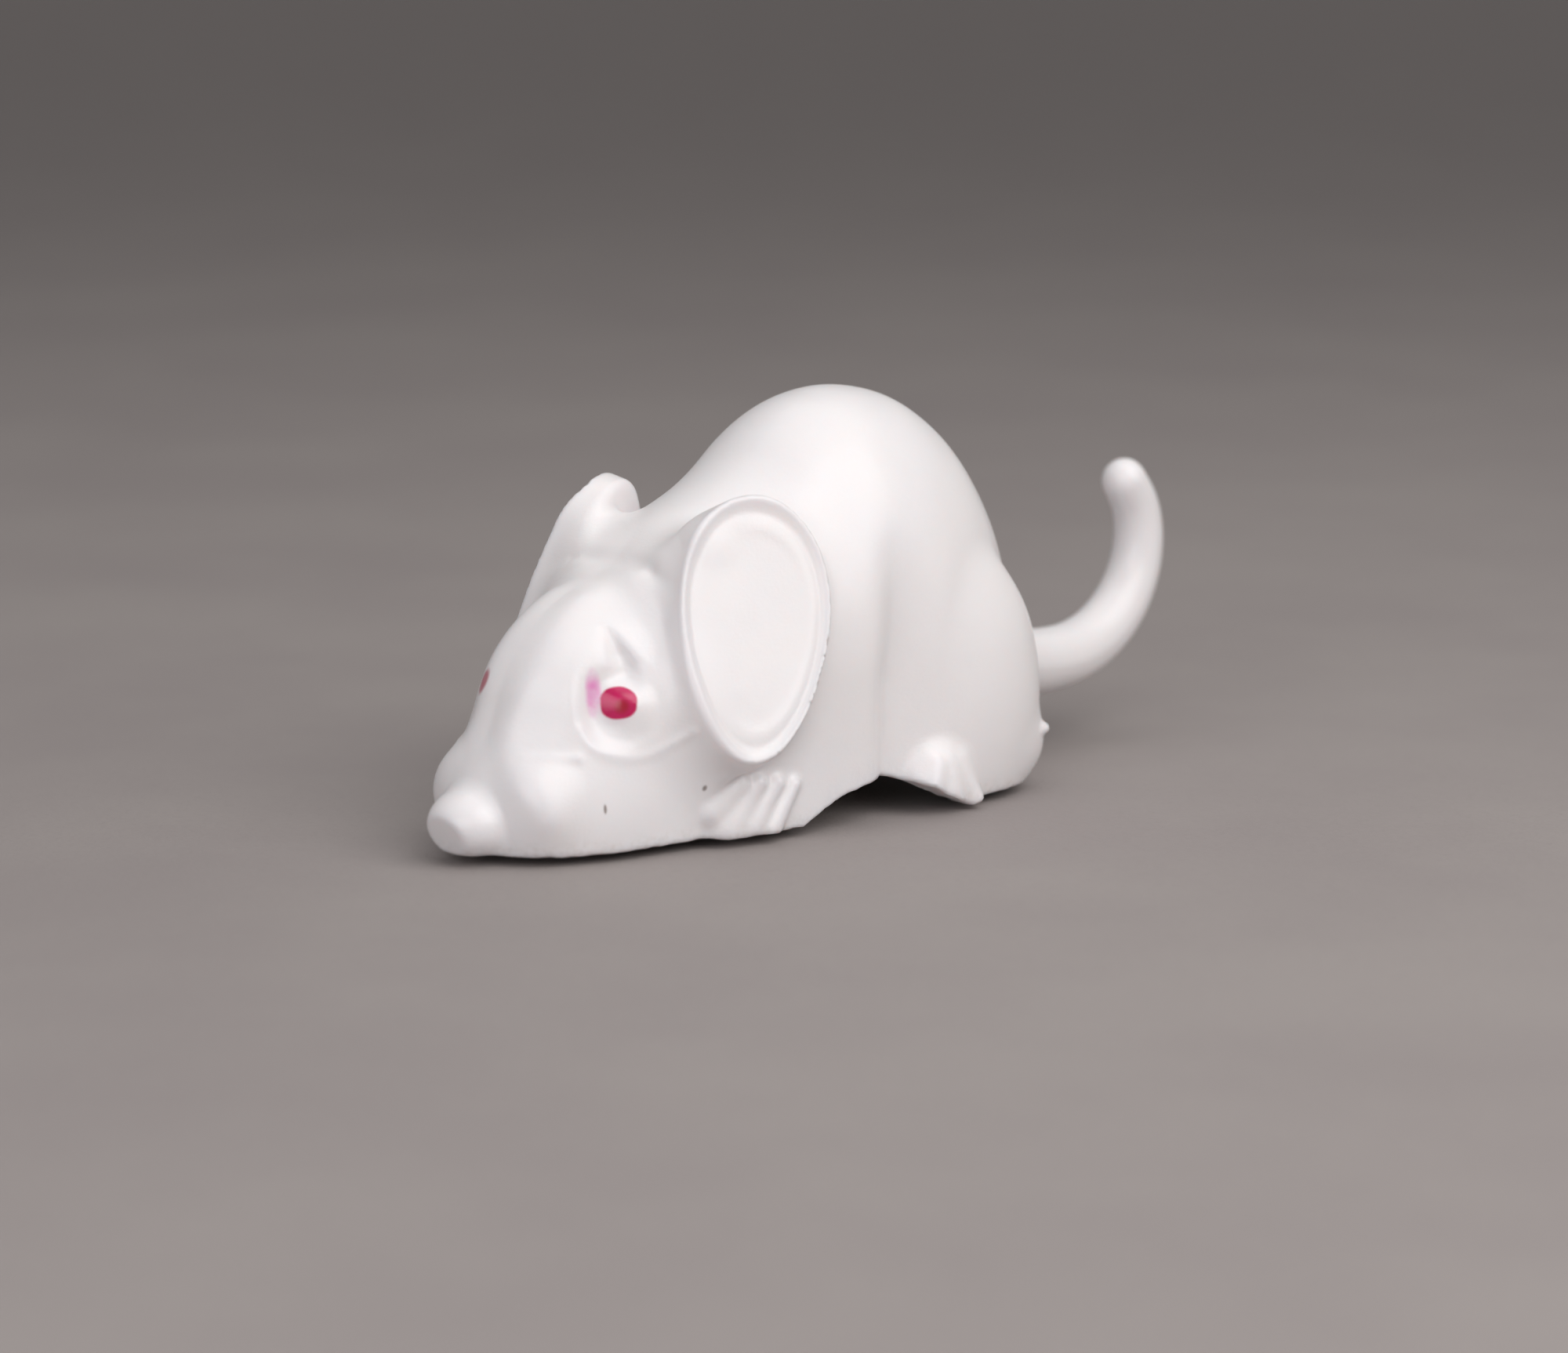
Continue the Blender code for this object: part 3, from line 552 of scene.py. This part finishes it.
def shade_by(thing, field):
    """Smooth shading with the form's own normals, and its hollows kept for the painted shade in the material.
    """
    mesh = thing.data
    way, _ = slope(field, from_frame(mesh))
    _, bend = slope(field, from_frame(mesh), 0.5)
    way /= np.maximum(length(way), 1e-9)[:, None]
    mesh.polygons.foreach_set("use_smooth", np.ones(len(mesh.polygons), bool))
    mesh.normals_split_custom_set_from_vertices(way.tolist())
    hollow = mesh.attributes.new("hollow", "FLOAT", "POINT")
    hollow.data.foreach_set("value", np.clip(bend, -3.0, 3.0).astype(np.float32))


def make_body():
    cell = 0.5
    verts, faces = net_surface(shell, (-17, -38.5, -1.5), (17, 26.5, 38), cell)
    verts = settled(evened(verts, faces, 2), shell, 2)
    thing = new_object("moulded_body", verts, faces)
    fine = thing.modifiers.new("fine", "SUBSURF")
    fine.levels = 1
    apply_modifiers(thing)
    set_positions(thing, settled(from_frame(thing.data), shell, 2))
    thin = thing.modifiers.new("thin", "DECIMATE")
    thin.ratio = 0.5
    apply_modifiers(thing)
    shade_by(thing, shell)
    return thing


TAIL_PATH = [(22.36, 8.8), (23.6, 8.8), (26.4, 8.4), (29.6, 7.9), (33.0, 7.8), (36.0, 8.1), (38.8, 9.0),
             (41.2, 10.5), (43.2, 12.6), (44.5, 15.2), (44.9, 18.0), (44.4, 20.6), (43.0, 22.8), (41.4, 24.4)]
TAIL_PLUG = [(19.95, 0.02), (19.95, 1.45), (20.2, 1.7), (22.36, 1.7)]      # y and radius
TAIL_TIP = 1.9                 # length over which the end rounds off
TAIL_SIDES = 48


def tail_rings():
    """Rings of points from the plug's end to the tail's tip, with a mould seam on both sides."""
    path = smooth_path(TAIL_PATH, 6)
    along = np.concatenate([[0], np.cumsum(length(np.diff(path, axis=0)))])
    whole = along[-1]
    radius = 3.32 - 1.35 * along / whole
    tip = np.clip((along - (whole - TAIL_TIP)) / TAIL_TIP, 0.0, 0.985)
    radius = radius * np.sqrt(1 - tip ** 2)
    way = np.gradient(path, axis=0)
    way /= length(way)[:, None]
    around = np.arange(TAIL_SIDES) * 2 * math.pi / TAIL_SIDES
    seam = 0.05 * np.exp(-(np.sin(around) / 0.09) ** 2)
    rings = [plug_ring(y, r, around) for y, r in TAIL_PLUG]
    for (y, z), (wy, wz), r in zip(path, way, radius):
        out = np.cos(around) * (r + seam)
        up = np.sin(around) * (r + seam)
        rings.append(np.stack([out, y - wz * up, z + wy * up], axis=-1))
    end = np.array((0.0, path[-1][0], path[-1][1]))
    rings.append(end + 0.02 * (rings[-1] - rings[-1].mean(axis=0)))
    return rings


def make_tail():
    rings = tail_rings()
    faces = []
    for i in range(len(rings) - 1):
        here, there = i * TAIL_SIDES, (i + 1) * TAIL_SIDES
        for j in range(TAIL_SIDES):
            k = (j + 1) % TAIL_SIDES
            faces.append((here + j, here + k, there + k, there + j))
    faces.append(tuple(range(TAIL_SIDES))[::-1])
    faces.append(tuple(range((len(rings) - 1) * TAIL_SIDES, len(rings) * TAIL_SIDES)))
    thing = new_object("moulded_tail", np.concatenate(rings), faces)
    thing.data.polygons.foreach_set("use_smooth", np.ones(len(thing.data.polygons), bool))
    thing.data.set_sharp_from_angle(angle=math.radians(50))
    return thing


def plug_ring(y, r, around):
    return np.stack([np.cos(around) * r, np.full(len(around), y), TAIL_HEIGHT + np.sin(around) * r], axis=-1)


# ---------------------------------------------------------------- node graphs

class Graph:
    """A material's nodes, with short calls for the ones used here."""

    def __init__(self, name):
        self.material = bpy.data.materials.new(name)
        self.material.use_nodes = True
        self.nodes = self.material.node_tree.nodes
        self.links = self.material.node_tree.links
        self.shader = self.nodes["Principled BSDF"]
        self.place = self.scaled_place()

    def put(self, socket, value):
        if hasattr(value, "is_output"):
            self.links.new(value, socket)
        elif hasattr(socket, "default_value"):
            socket.default_value = value

    def node(self, kind, inputs=(), **settings):
        made = self.nodes.new("ShaderNode" + kind)
        for key, value in settings.items():
            setattr(made, key, value)
        for key, value in dict(inputs).items():
            self.put(made.inputs[key], value)
        return made

    def scaled_place(self):
        """The place on the object in millimetres above the ground."""
        place = self.node("TexCoord").outputs["Object"]
        scaled = self.node("VectorMath", {0: place, 3: 1 / MM}, operation="SCALE").outputs[0]
        return self.node("VectorMath", {0: scaled, 1: (0, 0, RIDE)}, operation="ADD").outputs[0]

    def math(self, operation, a, b=0.0):
        return self.node("Math", {0: a, 1: b}, operation=operation).outputs[0]

    def vector(self, operation, a, b=(0, 0, 0)):
        made = self.node("VectorMath", {0: a, 1: b}, operation=operation)
        return made.outputs["Value" if operation in ("DOT_PRODUCT", "LENGTH") else "Vector"]

    def noise(self, scale, detail=3.0, rough=0.5, stretch=None):
        """Noise with waves of about 1/scale mm, from 0 to 1."""
        place = self.vector("MULTIPLY", self.place, stretch) if stretch else self.place
        inputs = {"Vector": place, "Scale": scale, "Detail": detail, "Roughness": rough}
        return self.node("TexNoise", inputs).outputs["Fac"]

    def span(self, value, low, high, new_low=0.0, new_high=1.0):
        """A value's range carried to a new one, smooth at its ends."""
        inputs = {"Value": value, "From Min": low, "From Max": high, "To Min": new_low, "To Max": new_high}
        return self.node("MapRange", inputs, interpolation_type="SMOOTHSTEP").outputs["Result"]

    def mix(self, share, a, b):
        made = self.node("Mix", data_type="RGBA")
        for key, value in (("Factor_Float", share), ("A_Color", a), ("B_Color", b)):
            socket = next(s for s in made.inputs if s.identifier == key)
            plain = key != "Factor_Float" and not hasattr(value, "is_output")
            self.put(socket, tuple(value) + (1,) if plain else value)
        return next(s for s in made.outputs if s.identifier == "Result_Color")

    def bump(self, height, depth_mm, below=None):
        """Surface relief of a height from 0 to 1, its full depth given in millimetres."""
        inputs = {"Height": height, "Distance": depth_mm * MM, "Strength": 1.0}
        if below is not None:
            inputs["Normal"] = below
        return self.node("Bump", inputs).outputs["Normal"]

    def finish(self, color, rough, normal=None, metal=0.0, **more):
        self.put(self.shader.inputs["Base Color"], color)
        self.put(self.shader.inputs["Roughness"], rough)
        self.put(self.shader.inputs["Metallic"], metal)
        if normal is not None:
            self.put(self.shader.inputs["Normal"], normal)
        for key, value in more.items():
            self.put(self.shader.inputs[key.replace("_", " ")], value)
        return self.material


def white_moulding(painted):
    """Warm white satin plastic, and the painted eyes, specks and sprue scar on the body."""
    g = Graph("white_moulding_painted" if painted else "white_moulding")
    cloudy = g.noise(0.11, 4.0, 0.55)
    fine = g.noise(1.7, 5.0, 0.6)
    color = g.mix(g.span(cloudy, 0.35, 0.68), (0.89, 0.856, 0.862), (0.878, 0.852, 0.868))
    color = g.mix(g.span(fine, 0.68, 0.95, 0.0, 0.06), color, (0.80, 0.765, 0.74))
    low = g.span(g.node("SeparateXYZ", {0: g.place}).outputs["Z"], 0.6, 2.6, 1.0, 0.0)
    color = g.mix(g.math("MULTIPLY", low, g.span(fine, 0.4, 0.75, 0.0, 0.5)), color, (0.62, 0.56, 0.52))
    rough = g.span(g.noise(0.35, 4.0, 0.5), 0.3, 0.75, 0.30, 0.40)
    if painted:
        color, rough = paint(g, color, rough)
    waves = g.bump(g.noise(0.3, 2.0, 0.4), 0.05)
    grain = g.bump(g.noise(3.4, 4.0, 0.6), 0.018, waves)
    scratches = g.noise(1.1, 6.0, 0.7, stretch=(1.0, 1.0, 6.0))
    normal = g.bump(scratches, 0.012, grain)
    return g.finish(color, rough, normal, Subsurface_Weight=0.55, Subsurface_Radius=(1.0, 0.78, 0.72),
                    Subsurface_Scale=1.1 * MM, Coat_Weight=0.18, Coat_Roughness=0.12, IOR=1.5)


def paint(g, color, rough):
    """Painted shade in the hollows, the eyes with their pink smears, and the specks and marks."""
    # painted shade: a bluish grey laid into creases and hollows, stronger where the form is more hollow
    hollow = g.node("Attribute", attribute_name="hollow").outputs["Fac"]
    hollow_shade = g.span(hollow, 0.15, 1.3, 0.0, 0.16)
    color = g.mix(hollow_shade, color, (0.62, 0.60, 0.68))
    parts = g.node("SeparateXYZ", {0: g.place}).outputs
    side = g.math("ABSOLUTE", parts["X"])
    folded = g.node("CombineXYZ", {0: side, 1: parts["Y"], 2: parts["Z"]}).outputs[0]
    away = g.vector("SUBTRACT", folded, tuple(EYE))
    wobble = g.math("MULTIPLY", g.math("SUBTRACT", g.noise(0.8, 2.0), 0.5), 0.35)
    u = g.math("SUBTRACT", g.vector("DOT_PRODUCT", away, tuple(EYE_BACK)), PUPIL[0])
    v = g.math("SUBTRACT", g.vector("DOT_PRODUCT", away, tuple(EYE_UP)), PUPIL[1])
    u = g.math("ADD", u, wobble)
    smear = spot(g, u, v, (-1.85, 0.9), (0.85, 2.3))
    smear = g.math("MULTIPLY", smear, g.span(g.noise(0.9, 4.0), 0.25, 0.7, 0.35, 1.0))
    color = g.mix(g.math("MULTIPLY", smear, 0.95), color, (0.84, 0.30, 0.62))
    halo = spot(g, u, v, (-0.1, -0.2), (1.75, 1.75))
    color = g.mix(g.math("MULTIPLY", halo, 0.2), color, (0.85, 0.45, 0.66))
    pupil = g.math("SUBTRACT", rounded_square(g, u, v), 1.0)
    mask = g.span(pupil, -0.06, 0.06, 1.0, 0.0)
    dark = spot(g, u, v, (0.15, -0.35), (0.75, 0.75))
    red = g.mix(dark, (0.60, 0.013, 0.125), (0.42, 0.010, 0.035))
    red = g.mix(g.span(g.noise(1.6, 4.0), 0.4, 0.7, 0.0, 0.35), red, (0.44, 0.008, 0.07))
    color = g.mix(mask, color, red)
    unpainted = g.math("MULTIPLY", g.math("SUBTRACT", 1.0, mask), rough)
    rough = g.math("ADD", unpainted, g.math("MULTIPLY", mask, 0.16))
    for at, size in (((7.9, -27.5, 4.5), (0.9, 0.14, 0.42)), ((9.9, -18.9, 5.3), (0.9, 0.24, 0.34))):
        color = g.mix(blob(g, at, size, 0.7, 1.25, 0.85), color, (0.24, 0.19, 0.17))
    return nose_marks(g, color), rough


def nose_marks(g, color):
    """A red blot on the muzzle's right, and the sprue's scar."""
    blot = blob(g, (-2.5, -30.6, 13.6), (0.8, 0.9, 1.3), 0.6, 1.1, 0.8)
    color = g.mix(blot, color, (0.42, 0.012, 0.06))
    patchy = g.span(g.noise(1.3), 0.3, 0.6, 0.4, 1.0)
    scar = g.math("MULTIPLY", blob(g, (-0.7, -34.9, 2.6), (1.5, 1.2, 1.5), 0.5, 1.25, 1.0), patchy)
    return g.mix(g.math("MULTIPLY", scar, 0.55), color, (0.60, 0.52, 0.43))


def blob(g, centre, size, inner, outer, strength):
    """Soft ellipsoid on the object, full inside inner and nothing beyond outer."""
    gap = g.vector("DIVIDE", g.vector("SUBTRACT", g.place, centre), size)
    return g.span(g.vector("LENGTH", gap), inner, outer, strength, 0.0)


def spot(g, u, v, centre, size):
    """Soft oval patch at a place in the eye's own axes."""
    a = g.math("DIVIDE", g.math("SUBTRACT", u, centre[0]), size[0])
    b = g.math("DIVIDE", g.math("SUBTRACT", v, centre[1]), size[1])
    gap = g.math("ADD", g.math("MULTIPLY", a, a), g.math("MULTIPLY", b, b))
    return g.span(gap, 0.0, 1.0, 1.0, 0.0)


def rounded_square(g, u, v):
    """Grows from 0 at the pupil's centre to 1 on its edge."""
    a = g.math("POWER", g.math("DIVIDE", g.math("ABSOLUTE", u), PUPIL_HALF[0]), PUPIL_POWER)
    b = g.math("POWER", g.math("DIVIDE", g.math("ABSOLUTE", v), PUPIL_HALF[1]), PUPIL_POWER)
    return g.math("POWER", g.math("ADD", a, b), 1 / PUPIL_POWER)


def plastic(name, color, worn, rough, grain_mm=0.03):
    """Matt moulded plastic with a fine grain and random patches of dust and rubbing in it."""
    g = Graph(name)
    dust = g.span(g.noise(0.5, 5.0, 0.65), 0.45, 0.8, 0.0, 0.55)
    tone = g.mix(dust, color, worn)
    grain = g.bump(g.noise(4.0, 4.0, 0.6), grain_mm)
    flow = g.bump(g.noise(0.4, 3.0, 0.5), 0.12, grain)
    return g.finish(tone, g.span(g.noise(0.9, 4.0), 0.3, 0.7, rough - 0.08, rough + 0.1), flow, IOR=1.48)


def rubber():
    g = Graph("tyre_rubber")
    dust = g.span(g.noise(0.9, 6.0, 0.7), 0.4, 0.78, 0.0, 0.6)
    tone = g.mix(dust, (0.028, 0.027, 0.026), (0.16, 0.145, 0.13))
    grain = g.bump(g.noise(5.0, 5.0, 0.65), 0.05)
    return g.finish(tone, g.span(dust, 0.0, 0.6, 0.62, 0.88), grain)


def metal(name, color, dull, rough, marks=None, tarnish=0.35):
    """Metal with patches of dulling and the marks of how it was made.

    marks is "turned" for rings round the X axis, "rolled" for lines along Y, or None."""
    g = Graph(name)
    patch = g.span(g.noise(0.55, 5.0, 0.65), 0.42, 0.75, 0.0, tarnish)
    tone = g.mix(patch, color, dull)
    fleck = g.span(g.noise(6.0, 3.0, 0.7), 0.6, 0.8, 0.0, 0.35)
    tone = g.mix(fleck, tone, dull)
    if marks == "turned":
        lines = g.noise(5.0, 3.0, 0.6, stretch=(1.6, 0.04, 0.04))
    else:
        lines = g.noise(4.0, 4.0, 0.65, stretch=(1.0, 0.06, 2.2))
    depth = {"turned": 0.012, "rolled": 0.016}.get(marks, 0.008)
    normal = g.bump(lines, depth, g.bump(g.noise(0.7, 3.0), 0.05))
    worn = g.math("MULTIPLY", patch, 0.3)
    spread = g.math("ADD", g.span(lines, 0.3, 0.7, rough - 0.05, rough + 0.06), worn)
    return g.finish(tone, spread, normal, 1.0)


def floor_finish():
    """Pale matt board with a faint fibre."""
    g = Graph("pale_floor")
    tone = g.mix(g.span(g.noise(0.02, 6.0, 0.6), 0.3, 0.7), (0.31, 0.275, 0.27), (0.34, 0.305, 0.295))
    tone = g.mix(g.span(g.noise(1.2, 4.0, 0.7), 0.45, 0.8, 0.0, 0.3), tone, (0.27, 0.24, 0.235))
    return g.finish(tone, 0.78, g.bump(g.noise(2.2, 5.0, 0.65), 0.08))


# ---------------------------------------------------------------- pieces

MATERIALS = {
    "white_moulding": white_moulding(False),
    "base_moulding": plastic("base_moulding", (0.72, 0.70, 0.665), (0.56, 0.52, 0.47), 0.5),
    "wheel_moulding": plastic("wheel_moulding", (0.045, 0.045, 0.048), (0.12, 0.115, 0.11), 0.42),
    "tyre_rubber": rubber(),
    "gear_brass": metal("gear_brass", (0.80, 0.59, 0.27), (0.50, 0.34, 0.15), 0.27, "rolled"),
    "plate_steel": metal("plate_steel", (0.62, 0.62, 0.61), (0.42, 0.42, 0.42), 0.34, "rolled"),
    "turned_steel": metal("turned_steel", (0.66, 0.66, 0.65), (0.44, 0.43, 0.41), 0.24, "turned"),
    "spring_steel": metal("spring_steel", (0.16, 0.20, 0.32), (0.20, 0.17, 0.20), 0.28, "rolled"),
    "screw_steel": metal("screw_steel", (0.58, 0.58, 0.56), (0.38, 0.37, 0.34), 0.33),
    "key_plating": metal("key_plating", (0.76, 0.75, 0.72), (0.52, 0.49, 0.44), 0.17, None, 0.25),
}


def dress(thing, material):
    thing.data.materials.clear()
    thing.data.materials.append(material)
    thing.data.polygons.foreach_set("material_index", np.zeros(len(thing.data.polygons), np.int32))


def dress_cad_nodes():
    """Every CAD node gets its slot's material and smooth shading between its real edges."""
    slots = {m["slot"] for m in frame["record"]["materials"]}
    for node, thing in frame["nodes"].items():
        names = [s.name.split(".")[0] for s in thing.data.materials if s]
        slot = next(n for n in names if n in slots)
        dress(thing, MATERIALS[slot])
        thing.data.polygons.foreach_set("use_smooth", np.ones(len(thing.data.polygons), bool))
        thing.data.set_sharp_from_angle(angle=math.radians(32))


def build_object():
    body, tail = make_body(), make_tail()
    dress(body, white_moulding(True))
    dress(tail, MATERIALS["white_moulding"])
    for thing, node in ((body, "body_shell"), (tail, "tail")):
        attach(thing, "chassis")
        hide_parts(node)
    dress_cad_nodes()


# ---------------------------------------------------------------- stage

def area_light(name, place, size, power, color):
    data = bpy.data.lights.new(name, "AREA")
    data.shape = "RECTANGLE"
    data.size, data.size_y = size
    data.energy = power
    data.color = color
    thing = bpy.data.objects.new(name, data)
    bpy.context.scene.collection.objects.link(thing)
    thing.location = Vector(place)
    aim = Vector((0, -0.004, 0.01)) - thing.location
    thing.rotation_mode = "QUATERNION"
    thing.rotation_quaternion = aim.to_track_quat("-Z", "Y")


def build_stage():
    ground = cad_box[0].z
    half = 12.0
    mesh = bpy.data.meshes.new("floor")
    corners = [(-half, -half, ground), (half, -half, ground), (half, half, ground), (-half, half, ground)]
    mesh.from_pydata(corners, [], [(0, 1, 2, 3)])
    floor = bpy.data.objects.new("floor", mesh)
    bpy.context.scene.collection.objects.link(floor)
    floor.data.materials.append(floor_finish())
    area_light("right_softbox", (0.32, 0.02, 0.30), (0.42, 0.40), 1.27, (1.0, 0.985, 0.965))
    area_light("overhead_softbox", (-0.02, 0.05, 0.50), (0.50, 0.50), 0.55, (1.0, 0.99, 0.98))
    area_light("front_fill", (0.20, -0.46, 0.20), (0.40, 0.30), 0.74, (0.97, 0.975, 1.0))
    world = bpy.data.worlds.new("studio")
    world.use_nodes = True
    backdrop = world.node_tree.nodes["Background"]
    backdrop.inputs["Color"].default_value = (0.80, 0.785, 0.78, 1)
    backdrop.inputs["Strength"].default_value = 0.35
    bpy.context.scene.world = world


def build_camera():
    level = math.cos(ELEVATION)
    back = Vector((math.sin(AZIMUTH) * level, -math.cos(AZIMUTH) * level, math.sin(ELEVATION)))
    right = Vector((math.cos(AZIMUTH), math.sin(AZIMUTH), 0.0))
    aim = Vector((0, 0, cad_box[0].z)) + back.cross(right) * (AIM_RISE * MM)
    data = bpy.data.cameras.new("camera")
    data.lens = LENS
    data.sensor_width = 36.0
    data.clip_start, data.clip_end = 0.02, 60.0
    camera = bpy.data.objects.new("camera", data)
    bpy.context.scene.collection.objects.link(camera)
    camera.rotation_mode = "QUATERNION"
    camera.location = aim + back * DISTANCE
    camera.rotation_quaternion = (-back).to_track_quat("-Z", "Y")
    data.dof.use_dof = True
    data.dof.focus_distance = FOCUS
    data.dof.aperture_fstop = 20.0
    bpy.context.scene.camera = camera
    bpy.context.scene.view_settings.view_transform = "Standard"


build_object()
build_stage()
build_camera()
